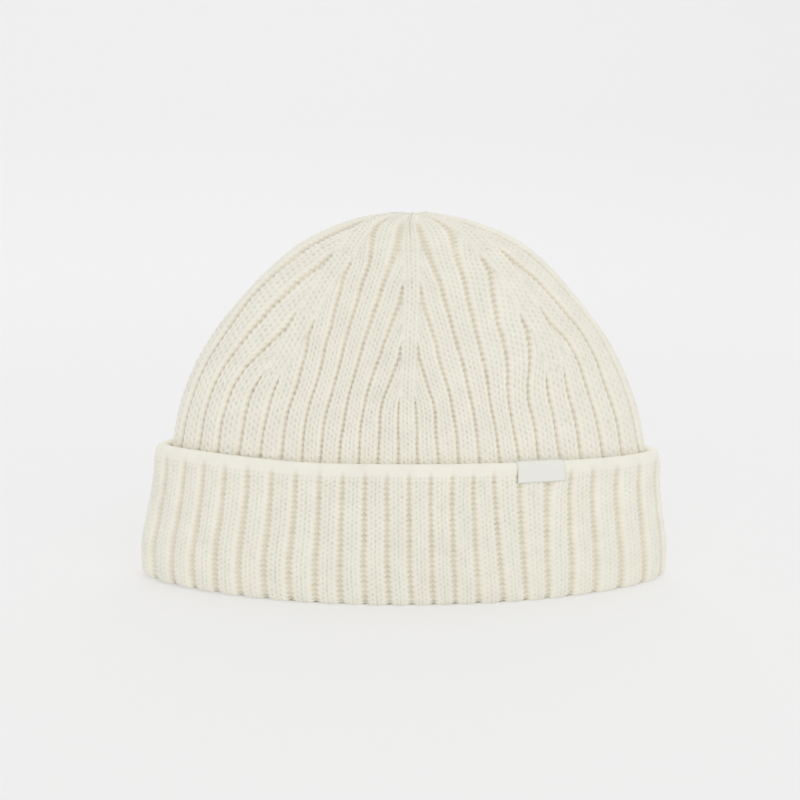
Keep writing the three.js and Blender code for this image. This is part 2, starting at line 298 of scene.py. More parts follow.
def stitch_relief(row_count, share):
    """How far the stitches stand out, in mm, for that many rows. At share 0 all is as at a rib's edge."""
    phase = np.arange(row_count) % COURSE_ROWS
    relief = np.tile(pitch_heights[phase], RIB_COUNT)
    edge = np.array(STITCH_HEIGHTS["edge"])[phase][:, None]
    courses = row_count // COURSE_ROWS + 1
    own = 1 + UNEVEN * unevenness.standard_normal((courses, RIB_COUNT * PITCH_WALES))
    own = np.repeat(np.repeat(own, COURSE_ROWS, axis=0)[:row_count], PITCH_COLUMNS // PITCH_WALES, axis=1)
    own = np.where(at_edge, 1, own)
    return edge + (relief * own - edge) * share


print("columns a rib:", PITCH_COLUMNS, "rows a course:", COURSE_ROWS)

# %% [markdown]
# No rib runs quite straight. A sum of a few long waves, which close round the hat, moves every place a
# little.

# %% Wandering ribs
WANDER = 0.012  # ribs, for each wave
WAVES = [
    {"round_hat": 5, "courses": 23, "turn": 0.3},
    {"round_hat": 9, "courses": 17, "turn": 1.9},
    {"round_hat": -13, "courses": 12, "turn": 4.1},
    {"round_hat": 19, "courses": 31, "turn": 2.6},
    {"round_hat": -23, "courses": 9, "turn": 5.2},
]


def from_front(place):
    """A place counted from the middle of the front: up to 24 to the right, down to -24 to the left."""
    return (place + RIB_COUNT / 2) % RIB_COUNT - RIB_COUNT / 2


def wander(place, course):
    """How far a place is moved, in ribs."""
    turns = [wave["round_hat"] * place / RIB_COUNT + course / wave["courses"] for wave in WAVES]
    return WANDER * sum(np.sin(2 * math.pi * turn + wave["turn"]) for turn, wave in zip(turns, WAVES))


# %% [markdown]
# Every big piece is made by one function. It adds a flat grid, moves each of its points to its place, keeps
# the wale and course numbers as the UV map, and then merges the points that lie on each other. That one
# merge sews the seam, closes the dome at its apex, and swallows the wales that a dart has taken in.

# %% Roll a grid up into a knitted tube
MERGE_DISTANCE = 2e-6  # m


def knit_piece(name, sheet, wales):
    """A mesh from a sheet: places in mm by row and column, courses, and the masks for the painted shade."""
    rows, count = sheet["places"].shape[:2]
    bpy.ops.mesh.primitive_grid_add(x_subdivisions=count - 1, y_subdivisions=rows - 1, size=1)
    piece = bpy.context.object
    piece.name = name
    mesh = piece.data
    flat = np.zeros(len(mesh.vertices) * 3, np.float32)
    mesh.vertices.foreach_get("co", flat)
    flat = flat.reshape(-1, 3)
    column = np.rint((flat[:, 0] + 0.5) * (count - 1)).astype(int)
    row = np.rint((flat[:, 1] + 0.5) * (rows - 1)).astype(int)
    mesh.vertices.foreach_set("co", (sheet["places"][row, column] * MM).astype(np.float32).ravel())
    # both marks only steer the painted shade in the yarn's colour
    for mark in ("groove_depth", "painted_gap_shade"):
        layer = mesh.attributes.new(mark, "FLOAT", "POINT")
        layer.data.foreach_set("value", sheet[mark][row, column].astype(np.float32))
    corner = np.zeros(len(mesh.loops), np.int32)
    mesh.loops.foreach_get("vertex_index", corner)
    stitch = np.stack([wales[column][corner], sheet["courses"][row, column][corner]], -1)
    mesh.uv_layers[0].name = "stitches"
    mesh.uv_layers[0].data.foreach_set("uv", stitch.astype(np.float32).ravel())
    bpy.ops.object.mode_set(mode="EDIT")
    bpy.ops.mesh.select_all(action="SELECT")
    bpy.ops.mesh.remove_doubles(threshold=MERGE_DISTANCE)
    bpy.ops.mesh.dissolve_degenerate(threshold=MERGE_DISTANCE)
    bpy.ops.mesh.select_all(action="SELECT")
    bpy.ops.mesh.normals_make_consistent(inside=False)
    bpy.ops.object.mode_set(mode="OBJECT")
    bpy.ops.object.shade_smooth()
    bpy.ops.object.select_all(action="DESELECT")
    mesh.calc_loop_triangles()
    print(name, len(mesh.vertices), "points,", len(mesh.loop_triangles), "triangles")
    return piece


def sewn(layers):
    """One sheet from layers that follow each other, with its first column again at the end."""
    sheet = {key: np.concatenate([layer[key] for layer in layers]) for key in layers[0]}
    return {key: np.concatenate([part, part[:, :1]], axis=1) for key, part in sheet.items()}


column_wales = np.concatenate([
    np.arange(RIB_COLUMNS) / WALE_COLUMNS,
    PLAIN_WALES + np.arange(GROOVE_COLUMNS) * PURL_WALES / GROOVE_COLUMNS,
])
wale_numbers = (np.arange(RIB_COUNT)[:, None] * PITCH_WALES + column_wales).ravel()
wale_numbers = np.append(wale_numbers, RIB_COUNT * PITCH_WALES)

# %% [markdown]
# A dart is knitted by working stitches together on both sides of one rib, over and over. At the courses 13,
# 23 and 34 a groove ends in a fine line and the next rib joins the dart. Its wales are then taken in one
# after another, the nearest first, until only the dart's own rib is left, which gets slimmer near the apex.
# The widths of all wales in one of the six sectors are worked out by course, and adding them up gives every
# column its place.

# %% Widths of the wales and grooves by course
DART_COUNT = 6
RIBS_PER_DART = RIB_COUNT // DART_COUNT
DART_COURSES = [13, 23, 34]
NARROWING_COURSES = 7  # a rib is taken in over so many courses above its join
CLOSING_POWER = 3  # and what is left of it sinks into the next groove mostly in the last of them
FADING_COURSES = 3.5  # over so many courses below its join a groove narrows to a line
LINE_SHARE = 0.3  # share of its width that the line keeps
LINE_COURSES = 0.5  # and over so many courses the line closes
DEPTH_COURSES = 1.2  # over so many courses below its join a groove runs out in depth
GATHER_FROM = 7  # courses below the apex where the grooves begin to close
GATHER_TO = 1.5
TABLE_STEP = 0.25  # courses
GROOVE_BY_COURSE = [
    {"course": 0, "width": 0.2},
    {"course": 13, "width": 0.22},
    {"course": 28, "width": 0.27},
    {"course": 40, "width": 0.32},
    {"course": 53, "width": 0.3},
]
DART_SLIMMING = 0.3  # share by which a dart's own rib gets narrower towards the apex
SLIMMING_COURSES = (39, 46)

table_courses = np.arange(0, APEX_COURSE + TABLE_STEP / 2, TABLE_STEP)
gather = ramp(APEX_COURSE - table_courses, GATHER_TO, GATHER_FROM)
dart_rib_width = 1 - DART_SLIMMING * ramp(table_courses, *SLIMMING_COURSES)


def wale_share(rib, wale):
    """Width of a wale by course, from 1 to 0. The wale of a rib that is nearest to the dart goes first."""
    steps = min(rib, RIBS_PER_DART - rib)
    if steps == 0 or steps > len(DART_COURSES):
        return np.ones_like(table_courses)
    turn = wale if rib == steps else PLAIN_WALES - 1 - wale
    taken = NARROWING_COURSES / PLAIN_WALES
    return np.clip(1 - (table_courses - DART_COURSES[steps - 1] - turn * taken) / taken, 0, 1)


def before_join(steps, courses):
    """From 1 to 0 over that many courses below the join of the groove so many steps from its dart."""
    if steps >= len(DART_COURSES):
        return np.ones_like(table_courses)
    return np.clip((DART_COURSES[steps] - table_courses) / courses, 0, 1)


wale_shares = np.array([
    [wale_share(rib, wale) for wale in range(PLAIN_WALES)] for rib in range(RIBS_PER_DART)
])
rib_shares = wale_shares.mean(1)
joins = range(len(DART_COURSES) + 1)
groove_widths = [
    (1 - LINE_SHARE) * before_join(steps, FADING_COURSES) + LINE_SHARE * before_join(steps, LINE_COURSES)
    for steps in joins
]
grooves = [before_join(steps, DEPTH_COURSES) * gather for steps in joins]
seams = grooves[:]  # the depth at a seam once the ribs between it and the next groove have gone
for steps in reversed(range(len(DART_COURSES))):
    gone = (1 - rib_shares[steps + 1]) ** CLOSING_POWER
    seams[steps] = np.clip(grooves[steps] + gone * seams[steps + 1], 0, 1)
ribs_left = DART_COUNT * rib_shares.sum(0)
for course in [0] + [join + NARROWING_COURSES for join in DART_COURSES]:
    print("by course", course, "there are", round(ribs_left[int(course / TABLE_STEP)]), "ribs")

# %% [markdown]
# The tables below hold one sector, from the middle of one dart to the next, for each quarter of a course:
# the place of every column in ribs, its depth in the groove, and how much of its stitch is left.

# %% Tables of one sector
GROOVE_WALL = 0.92  # depth of the two columns beside a groove's deepest one
SIDE_DELAY = 2.2  # by so many courses the side darts take in their later ribs late
DELAY_COURSES = (20, 30)  # the delay grows between these courses
TINY = 1e-9  # stands in for the width of a rib that has gone
LAST_SHARE = 0.001  # a table is read up to this share of a step before its end
groove_width = read_outline(GROOVE_BY_COURSE, "course", "width", table_courses)
interval_widths = []
depth_rows = []
across_rows = []
stitch_rows = []
for rib in range(RIBS_PER_DART):
    after = min(rib, RIBS_PER_DART - 1 - rib)
    before = min((rib - 1) % RIBS_PER_DART, RIBS_PER_DART - 1 - (rib - 1) % RIBS_PER_DART)
    wales = np.repeat(wale_shares[rib], WALE_COLUMNS, axis=0) / WALE_COLUMNS
    own_width = dart_rib_width if rib == 0 else np.ones_like(table_courses)
    interval_widths += list(wales * own_width * (1 - groove_width) / PLAIN_WALES)
    interval_widths += [groove_width * groove_widths[after] / GROOVE_COLUMNS] * GROOVE_COLUMNS
    reached = np.concatenate([np.zeros((1, len(table_courses))), np.cumsum(wales, axis=0)])
    across = 2 * reached / np.maximum(reached[-1], TINY) - 1
    gone = (1 - rib_shares[rib]) ** CLOSING_POWER
    for column in range(PITCH_COLUMNS):
        if column <= RIB_COLUMNS:
            side = (seams[before] * (1 - across[column]) + seams[after] * (1 + across[column])) / 2
            drop = np.abs(across[column]) ** SHOULDER_POWER
            depth_rows.append(EDGE_DROP * side * (drop + (1 - drop) * gone))
            across_rows.append(across[column])
            beside = [max(column - 1, 0) // WALE_COLUMNS, min(column // WALE_COLUMNS, PLAIN_WALES - 1)]
            stitch_rows.append(np.clip(2 * wale_shares[rib][beside].min(0), 0, 1))
        else:
            wall = 1 if column == RIB_COLUMNS + GROOVE_COLUMNS / 2 else GROOVE_WALL
            depth_rows.append(seams[after] * (EDGE_DROP + (wall - EDGE_DROP) * grooves[after]))
            across_rows.append(np.ones_like(table_courses))
            stitch_rows.append(grooves[after])
edges = np.concatenate([np.zeros((1, len(table_courses))), np.cumsum(interval_widths, axis=0)])
unit = RIBS_PER_DART / edges[-1]
place_table = (edges[:-1] - edges[RIB_COLUMNS // 2]) * unit
depth_table = np.array(depth_rows)
across_table = np.array(across_rows)
stitch_table = np.array(stitch_rows)
from_first_dart = (np.arange(columns) - RIB_COLUMNS / 2) / PITCH_COLUMNS / RIBS_PER_DART
on_side_dart = np.rint(from_first_dart) % (DART_COUNT / 2) != 0
print("columns in a sector:", len(place_table), "courses in the table:", len(table_courses))


def joining_course(course):
    """The course by which the darts are read. The side darts take in their later ribs some courses late."""
    return course - SIDE_DELAY * on_side_dart * ramp(course, *DELAY_COURSES)


def read_table(table, course):
    """A sector's table at the course of each point, for all six sectors side by side."""
    position = np.clip(joining_course(course) / TABLE_STEP, 0, len(table_courses) - 1 - LAST_SHARE)
    below = position.astype(int)
    share = position - below
    column = np.arange(course.shape[1]) % len(table)
    return table[column, below] * (1 - share) + table[column, below + 1] * share


# %% [markdown]
# Each join leaves a mark on the dart's own rib. Below it the stitches crowd into a small tongue, and above
# it they start again a little deeper, so a short dark line crosses the rib there. A last, smaller one lies
# where the third pair of ribs has been taken in, and above it the rib stands up as a tube with a fine
# middle line.

# %% Marks that the joins leave on a dart's rib
TONGUES = [
    {"course": 13, "rise": 0.5},
    {"course": 23, "rise": 0.6},
    {"course": 34, "rise": 0.6},
    {"course": 40.3, "rise": 0.4},
]
TONGUE_REACH = 1.7  # courses
HOLLOW_REACH = 1.2
TUBE_FROM = 42
TUBE_TO = 46
TUBE_RISE = 0.5  # mm
TUBE_LINE = 0.4
LINE_FADE = (1, 6)  # courses below the apex over which the tube's middle line fades

rib_of_column = np.arange(columns) // PITCH_COLUMNS
sector = rib_of_column // RIBS_PER_DART
on_dart = (rib_of_column % RIBS_PER_DART == 0) & (np.arange(columns) % PITCH_COLUMNS <= RIB_COLUMNS)
middle_line = on_dart & (np.arange(columns) % PITCH_COLUMNS == WALE_COLUMNS)


def dart_marks(course, across):
    """How far the marks of the joins stand out, in mm."""
    course = joining_course(course)
    rise = np.zeros_like(course)
    for tongue in TONGUES:
        below = hump(course, tongue["course"], TONGUE_REACH) * (course < tongue["course"])
        above = hump(course, tongue["course"], HOLLOW_REACH) * (course >= tongue["course"])
        rise += tongue["rise"] * (below - above)
    tube = ramp(course, TUBE_FROM, TUBE_TO)
    rise = (rise + TUBE_RISE * tube) * (1 - across ** SHOULDER_POWER)
    line = TUBE_LINE * tube * ramp(APEX_COURSE - course, *LINE_FADE)
    return rise * on_dart - line * middle_line


# %% [markdown]
# The crown is one grid that goes round its own wall: down the outside from the apex, under the hem behind
# the cuff, and up the inside to the apex again. Outside it carries stitches, which start a little below the
# cuff's edge. Inside it is smoother and only every fourth column is kept, because little of it is ever
# seen.

# %% Sizes of the crown's wall, in mm and courses
CROWN_WALL = 3
CROWN_GROOVE = 0.75
INNER_GROOVE = 0.6  # share of a groove's depth that shows inside
CUFF_WALL = 4
LAYER_GAP = 0.5
SEAT_GAP = 0.3
FOOT_HEIGHT = 6
BAND_COURSES = 25  # height of the hidden band behind the cuff
SHOWN_COURSES = 2  # the part of it that carries stitches
HIDDEN_ROWS = [-8, -16, -BAND_COURSES]  # its plain rows below them
INNER_ROW_COURSES = 2
INNER_COLUMNS = 4
CROWN_TUCK = 1.2  # in front the crown bulges out by this much, against the cuff's edge
TUCK_COURSES = 5
CLOSING_COURSES = 1  # the stitches flatten out over so many courses below the apex

hem_height = FOOT_HEIGHT + SEAT_GAP
hem_inset = CUFF_WALL + LAYER_GAP
print("hem at", hem_height, "mm up and", hem_inset, "mm in")

# %% [markdown]
# A tube that is pulled on and off doesn't keep its ribs in step. The photo's ribs lie a little further left
# or right than an even spread puts them, so a few drifts move them there. Each has its place in ribs, the
# share of a rib by which it moves what is there to the right, or to the left below 0, and its reach. The
# first five fade away up the crown. The other two lean the side darts to the right.

# %% Where the crown's ribs lie
CROWN_SPREAD = {"middle": 0.24, "ends": 0.08}  # ribs are closer in the middle of the front than at the ends
CROWN_DRIFTS = [
    {"place": -11.5, "by": 0.3, "reach": 1.8},
    {"place": 0, "by": -0.07, "reach": 4},
    {"place": 4, "by": 0.14, "reach": 1.5},
    {"place": 7, "by": 0.12, "reach": 2},
    {"place": 12, "by": -0.15, "reach": 2},
]
DRIFT_FROM = 12  # the course where they begin to fade
DRIFT_TO = 24
UPPER_DRIFTS = [
    {"place": -8, "by": 0.45, "reach": 3},
    {"place": 8, "by": 0.6, "reach": 3},
]
UPPER_FROM = 8
UPPER_FULL = 18
UPPER_FADE = (3, 12)  # courses below the apex
APEX_SPREAD = -0.15  # near the apex the ribs are wider in the middle of the front instead
APEX_FROM = 36
APEX_TO = 50


def drifted(place, drifts):
    """How far drifts move a place, in ribs."""
    seen = from_front(place)
    return sum(drift["by"] * hump(seen, drift["place"], drift["reach"]) for drift in drifts)


def crown_angle(course):
    """The angle on the oval of every column of the crown, at the course of each point."""
    place = read_table(place_table, course) + RIBS_PER_DART * sector
    place = place + wander(place, course) * ramp(APEX_COURSE - course, 0, GATHER_FROM)
    low = drifted(place, CROWN_DRIFTS) * ramp(DRIFT_TO - course, 0, DRIFT_TO - DRIFT_FROM)
    high = drifted(place, UPPER_DRIFTS) * ramp(course, UPPER_FROM, UPPER_FULL)
    place = place + low + high * ramp(APEX_COURSE - course, *UPPER_FADE)
    to_apex = ramp(course, APEX_FROM, APEX_TO)
    middle = CROWN_SPREAD["middle"] * (1 - to_apex) + APEX_SPREAD * to_apex
    return oval_angle(place, {"middle": middle, "ends": CROWN_SPREAD["ends"] * (1 - to_apex)})


# %% [markdown]
# A layer is a stack of rows. Every point gets its angle from the place of its column, and its relief moves
# it in or out along the normal of the smooth face. Below course 0 the layer runs on as the band behind the
# cuff, so its points there are blended over to the hem. The gaps between the legs are marked for the
# painted shade in the yarn's colour.

# %% Knit the crown
GAP_START = 0.1  # mm of relief at which a gap begins to get painted shade
GAP_SPAN = 0.6  # mm from there down to one that gets all of it


def painted_gap_shade(relief):
    """How much painted shade a point gets for lying in a gap between the legs, from 0 to 1."""
    return np.clip((GAP_START - relief) / GAP_SPAN, 0, 1)


def crown_layer(row_courses, stitched):
    """A layer of the crown with rows at these courses. Below course 0 it runs down to the hem."""
    level = row_courses[:, None] + np.zeros(columns)
    slant = 0
    if stitched:  # wales that are taken in lose their slant, and so close up exactly
        left = read_table(stitch_table, np.minimum(level + SLANT, APEX_COURSE))
        slant = SLANT * (1 - (1 - folds) * left)
    course = np.minimum(level + slant, APEX_COURSE)
    angle = crown_angle(course)
    depth = read_table(depth_table, course)
    if stitched:
        across = read_table(across_table, course)
        relief = stitch_relief(len(row_courses), read_table(stitch_table, course))
        out = relief + RIB_CROWNING * (1 - across ** 2) + dart_marks(course, across)
        out = out - CROWN_GROOVE * depth
        tuck = CROWN_TUCK * np.cos(angle) ** 2 * hump(course, 0, TUCK_COURSES)
        inset = -out * ramp(APEX_COURSE - course, 0, CLOSING_COURSES) - tuck
        gap = painted_gap_shade(relief)
    else:
        inset = CROWN_WALL + CROWN_GROOVE * INNER_GROOVE * depth
        gap = np.zeros_like(depth)
    hem = cuff_point(np.full(angle.shape, hem_height), angle, hem_inset + inset)
    down = np.clip(-course / BAND_COURSES, 0, 1)[..., None]
    return {
        "places": crown_point(course, angle, inset) * (1 - down) + hem * down,
        "courses": course,
        "groove_depth": depth,
        "painted_gap_shade": gap,
    }


outer_courses = every_row(-SHOWN_COURSES, APEX_COURSE)
outer = crown_layer(outer_courses, True)
outer = {key: part[::-1] for key, part in outer.items()}
band = crown_layer(np.array(HIDDEN_ROWS, float), False)
band["places"] = band["places"] + (outer["places"][-1] - crown_layer(outer_courses[:1], False)["places"])
inner_courses = np.concatenate([
    [-BAND_COURSES, -BAND_COURSES / 2], np.arange(0, APEX_COURSE - 1, INNER_ROW_COURSES),
])
inner = crown_layer(inner_courses, False)
kept = np.rint(np.arange(columns) / INNER_COLUMNS).astype(int) * INNER_COLUMNS % columns
inner = {key: part[:, kept] for key, part in inner.items()}
top = {key: part[-1:] for key, part in inner.items()}
top["places"] = np.broadcast_to(outer["places"][0, 0] - [0, 0, CROWN_WALL], (1, columns, 3))
crown = knit_piece("crown_knit", sewn([outer, band, inner, top]), wale_numbers)

# %% [markdown]
# The cuff is knitted downwards from its edge, so its stitches stand on their heads. Its grid goes round the
# section: up the outer face, over the smooth rounded edge, down behind, and round the foot that turns under
# the crown. The fold at the bottom is a quarter of an ellipse, and the ribs run on round it, which gives
# the rim its scallops. At the hat's ends the edge is thicker, because the double cloth turns back on itself
# there.

# %% Section of the cuff
CUFF_SPREAD = {"middle": 0.13, "ends": 0}  # ribs are closer in the middle of the front than at the ends
CUFF_TURN = 0.11  # the cuff's ribs stand this much further right than half way between the crown's
COURSE_HEIGHT = 2.0  # mm
FOLD_HEIGHT = 3.6
FOLD_INSET = 2.2
FACE_COURSES = 24
FOLD_COURSES = 3
TOP_COURSES = 3  # the courses below the smooth edge over which the stitches lose their slant
EDGE_WALL = 3.4  # mm, the thickness of the edge in front
END_WALL = 5.4  # and at the hat's ends
END_POWER = 6  # it gets thicker only near them
EDGE_STEPS = 8
FOOT_WIDTH = CUFF_WALL + LAYER_GAP + CROWN_WALL
BACK_SECTION = [  # down behind the edge, and round the foot
    {"height": 46, "inset": 3.6},
    {"height": 35, "inset": 3.8},
    {"height": 20, "inset": CUFF_WALL},
    {"height": FOOT_HEIGHT, "inset": CUFF_WALL},
    {"height": FOOT_HEIGHT, "inset": FOOT_WIDTH},
    {"height": 1.8, "inset": FOOT_WIDTH - 0.5},
    {"height": 0, "inset": FOOT_WIDTH - 2},
]

in_rib = np.tile(np.minimum(pitch_column / RIB_COLUMNS, 1), RIB_COUNT)
in_groove = np.tile(np.maximum(pitch_column - RIB_COLUMNS, 0) / GROOVE_COLUMNS, RIB_COUNT)
cuff_across = 2 * in_rib - 1


def half_edge(angle):
    """Half the thickness of the cuff's edge, which is thicker at the hat's ends."""
    return (EDGE_WALL + (END_WALL - EDGE_WALL) * np.abs(np.sin(angle)) ** END_POWER) / 2


def cuff_section(course):
    """Height and inset on the outer face: courses below 0 lie on the fold."""
    turn = np.clip(-course / FOLD_COURSES, 0, 1) * math.pi / 2
    on_face = FOLD_HEIGHT + COURSE_HEIGHT * course
    height = np.where(course < 0, FOLD_HEIGHT * (1 - np.sin(turn)), on_face)
    return height, np.where(course < 0, FOLD_INSET * (1 - np.cos(turn)), 0)


def rows_of(values):
    """One value a row, spread over all columns."""
    return np.repeat(np.asarray(values, float), columns).reshape(-1, columns)


face_courses = every_row(-FOLD_COURSES, FACE_COURSES)
fading = ramp(face_courses, -FOLD_COURSES, 1 - FOLD_COURSES)
fading = fading * ramp(FACE_COURSES - face_courses, 0, TOP_COURSES)
cuff_courses = np.minimum(face_courses[:, None] + SLANT * fading[:, None] * (1 - folds), FACE_COURSES)
face_height, face_inset = cuff_section(cuff_courses)
edge_radius = half_edge(oval_angle(rib_of_column + CUFF_TURN + in_rib, CUFF_SPREAD))
edge_turns = np.linspace(0, math.pi, EDGE_STEPS + 1)[:, None]
heights = np.concatenate([
    face_height,
    CUFF_HEIGHT - edge_radius + edge_radius * np.sin(edge_turns),
    rows_of([row["height"] for row in BACK_SECTION]),
    face_height[:1],
])
insets = np.concatenate([
    face_inset,
    edge_radius * (1 - np.cos(edge_turns)),
    rows_of([row["inset"] for row in BACK_SECTION]),
    face_inset[:1],
])
smooth_rows = EDGE_STEPS + 1 + len(BACK_SECTION)
on_face = np.concatenate([np.ones(len(face_courses)), np.zeros(smooth_rows), np.ones(1)])[:, None]
thinnest, thickest = (round(2 * radius, 1) for radius in (edge_radius.min(), edge_radius.max()))
print("cuff rows:", len(heights), "edge from", thinnest, "to", thickest, "mm thick")

# %% [markdown]
# The photo's cuff is a little uneven: its ribs drift and lean by up to a third of a rib. Under the label
# the groove is pulled to the right and open at its top, because the ribbon holds the two ribs beside it.
# All of it is added to the places of the columns before they go round the oval.

# %% Where the cuff's ribs lie
CUFF_DRIFTS = [
    {"place": -10.7, "by": 0.1, "lean": 0, "reach": 1.2},
    {"place": -7.2, "by": -0.1, "lean": 0.06, "reach": 2},
    {"place": -3.2, "by": 0.04, "lean": 0, "reach": 1.2},
    {"place": -0.5, "by": 0.1, "lean": 0, "reach": 2.2},
    {"place": -0.5, "by": 0, "lean": 0.27, "reach": 4},
    {"place": 4.5, "by": -0.05, "lean": 0.33, "reach": 1.6},
    {"place": 11, "by": 0.31, "lean": 0, "reach": 2},
]
LEAN_HEIGHT = 28  # mm: a leaning rib is in its place at this height
LEAN_SPAN = 42  # and over this height it leans by its share of a rib
CUFF_WANDER = 0.4  # share of the crown's wandering
LABEL_GROOVE = 6 + CUFF_TURN  # place of the groove under the label
LABEL_HEIGHTS = (20, 50)  # mm over which the ribbon's pull grows
LABEL_PULL = 0.2  # ribs
LABEL_PULL_REACH = 1.1
OPENED = 0.05  # ribs by which each side of the groove under the label moves
OPENED_REACH = 0.5
GROOVE_HALF = 0.12  # ribs, from a groove's middle to its sides
GROOVE_TIP = 55  # mm: a groove narrows towards a point at this height, and the smooth edge ends it before
GROOVE_FULL = 48
CUFF_GROOVE_WIDTHS = {"top": 0.3, "more_below": 0.05, "behind": 0.2}  # ribs
WIDENING = (8, 45)  # mm below the edge between which a groove gets wider

groove_open = ramp(GROOVE_TIP - heights, 0, GROOVE_TIP - GROOVE_FULL) * on_face
widened = ramp(CUFF_HEIGHT - heights, *WIDENING)
cuff_width = CUFF_GROOVE_WIDTHS["top"] + CUFF_GROOVE_WIDTHS["more_below"] * widened
cuff_width = cuff_width * np.sqrt(groove_open) + CUFF_GROOVE_WIDTHS["behind"] * (1 - on_face)
cuff_place = rib_of_column + CUFF_TURN + cuff_width / 2 + (1 - cuff_width) * in_rib + cuff_width * in_groove
from_groove = cuff_place - LABEL_GROOVE
at_label = ramp(heights, *LABEL_HEIGHTS)
opening = OPENED * at_label * on_face * hump(from_groove, 0, OPENED_REACH)
pull = LABEL_PULL * at_label * hump(from_groove, 0, LABEL_PULL_REACH)
leaning = (heights - LEAN_HEIGHT) / LEAN_SPAN
seen_place = from_front(cuff_place)
cuff_drift = sum(
    (drift["by"] - drift["lean"] * leaning) * hump(seen_place, drift["place"], drift["reach"])
    for drift in CUFF_DRIFTS
)
cuff_place = cuff_place + opening * from_groove / GROOVE_HALF + pull + cuff_drift
cuff_place = cuff_place + CUFF_WANDER * wander(cuff_place, heights / COURSE_HEIGHT)
print("ribs of the cuff move by", round(cuff_drift.min(), 2), "to", round(cuff_drift.max(), 2), "of a rib")

# %% [markdown]
# The relief comes last. Each point is moved in or out from the cuff's face by its stitch, by the groove
# that it lies in and by the rib's own rounding. All three fade out towards the smooth edge. On the fold the
# ribs are flatter, and under a groove the fold is a little higher, which makes the scallops of the rim.

# %% Knit the cuff
CUFF_GROOVE = 0.75  # mm
STITCH_TOP = 52.5  # mm: the stitches fade out below this height
STITCH_FADE = 4
FLATTENING = 0.6  # share by which ribs and grooves are flatter under the fold
FLAT_FROM = 0.5  # mm of inset where they begin to be
SCALLOP = 0.25  # mm by which the fold is higher under a groove than under a rib
SCALLOP_FROM = 0.5  # courses down the fold where that begins

drop = np.where(
    np.tile(plain_column, RIB_COUNT), EDGE_DROP * np.abs(cuff_across) ** SHOULDER_POWER, GROOVE_WALL
)
drop[RIB_COLUMNS + GROOVE_COLUMNS // 2::PITCH_COLUMNS] = 1
round_fold = 1 - FLATTENING * ramp(insets, FLAT_FROM, FOLD_INSET)
relief = np.zeros_like(heights)
relief[:len(face_courses)] = stitch_relief(len(face_courses), 1)
stitched = ramp(STITCH_TOP - heights, 0, STITCH_FADE) * on_face
gaps = painted_gap_shade(relief) * stitched
relief *= stitched
crowning = RIB_CROWNING * (1 - cuff_across ** 2) * np.tile(plain_column, RIB_COUNT)
cuff_inset = insets + round_fold * groove_open * (CUFF_GROOVE * drop - crowning) - relief
down_fold = -np.concatenate([cuff_courses, rows_of([0] * smooth_rows), cuff_courses[:1]])
scalloped = heights + SCALLOP * drop * ramp(down_fold, SCALLOP_FROM, FOLD_COURSES)
sheet = sewn([{
    "places": cuff_point(scalloped, oval_angle(cuff_place, CUFF_SPREAD), cuff_inset),
    "courses": np.concatenate([cuff_courses, rows_of([FACE_COURSES] * smooth_rows), cuff_courses[:1]]),
    "groove_depth": np.sqrt(groove_open) * drop,
    "painted_gap_shade": gaps,
}])
cuff = knit_piece("cuff_knit", sheet, wale_numbers)

# %% [markdown]
# The label is a strip of white satin ribbon, folded over the cuff's edge and sewn down. A thin strip of
# grid is laid along the path over the edge and then given its thickness by a modifier. The path follows the
# edge, which gets thicker to the right, so the ribbon lies close to it all along.

# %% Label
LABEL_PLACE = 5.86  # ribs
LABEL_WIDTH = 2.02
LABEL_CLOTH = 0.35  # mm
OVER_RIBS = 0.55  # mm by which the ribbon's lower end lies over the cuff's face
OVER_EDGE = 0.1  # and by which it lies over the smooth edge
LABEL_DROP_FRONT = 7.6  # mm from the cuff's edge down to the ribbon's ends
LABEL_DROP_BACK = 7
LABEL_COLUMNS = 28
DROP_STEPS = 8
FOLD_STEPS = 12


def label_path(edge):
    """Height and inset of the ribbon's inner face, from its front end over the edge to its back end."""
    centre = CUFF_HEIGHT - edge
    radius = edge + OVER_EDGE
    lowest = CUFF_HEIGHT - LABEL_DROP_FRONT
    climbed = np.linspace(0, 1, DROP_STEPS, endpoint=False)[:, None]
    turns = np.linspace(0, math.pi, FOLD_STEPS + 1)[:, None]
    sunk = np.linspace(0, 1, DROP_STEPS + 1)[1:, None]
    height = np.concatenate([
        lowest + (centre - lowest) * climbed,
        centre + radius * np.sin(turns),
        centre + (CUFF_HEIGHT - LABEL_DROP_BACK - centre) * sunk,
    ])
    straight = (DROP_STEPS, len(edge))
    inset = np.concatenate([
        np.broadcast_to(-OVER_RIBS + (OVER_RIBS - OVER_EDGE) * climbed, straight),
        edge - radius * np.cos(turns),
        np.broadcast_to(2 * edge + OVER_EDGE, straight),
    ])
    return height, inset


label_columns = np.linspace(-0.5, 0.5, LABEL_COLUMNS + 1)
label_angle = oval_angle(LABEL_PLACE + LABEL_WIDTH * label_columns, CUFF_SPREAD)
label_height, label_inset = label_path(half_edge(label_angle))
label_sheet = {
    "places": cuff_point(label_height, np.broadcast_to(label_angle, label_height.shape), label_inset),
    "courses": np.broadcast_to(np.arange(len(label_height), dtype=float)[:, None], label_height.shape),
    "groove_depth": np.zeros(label_height.shape),
    "painted_gap_shade": np.zeros(label_height.shape),
}
label = knit_piece("label_ribbon", label_sheet, label_columns)
bpy.context.view_layer.objects.active = label
label.select_set(True)
thickness = label.modifiers.new("cloth", "SOLIDIFY")
thickness.thickness = LABEL_CLOTH * MM
thickness.offset = 1
bpy.ops.object.modifier_apply(modifier="cloth")
bpy.ops.object.select_all(action="DESELECT")

# %% [markdown]
# Materials. Each is named for what it is, and every colour is written as an sRGB hex value, which one
# function turns to the linear numbers that shaders use. Another adds a node with its settings and its
# links, and a third makes the empty material.

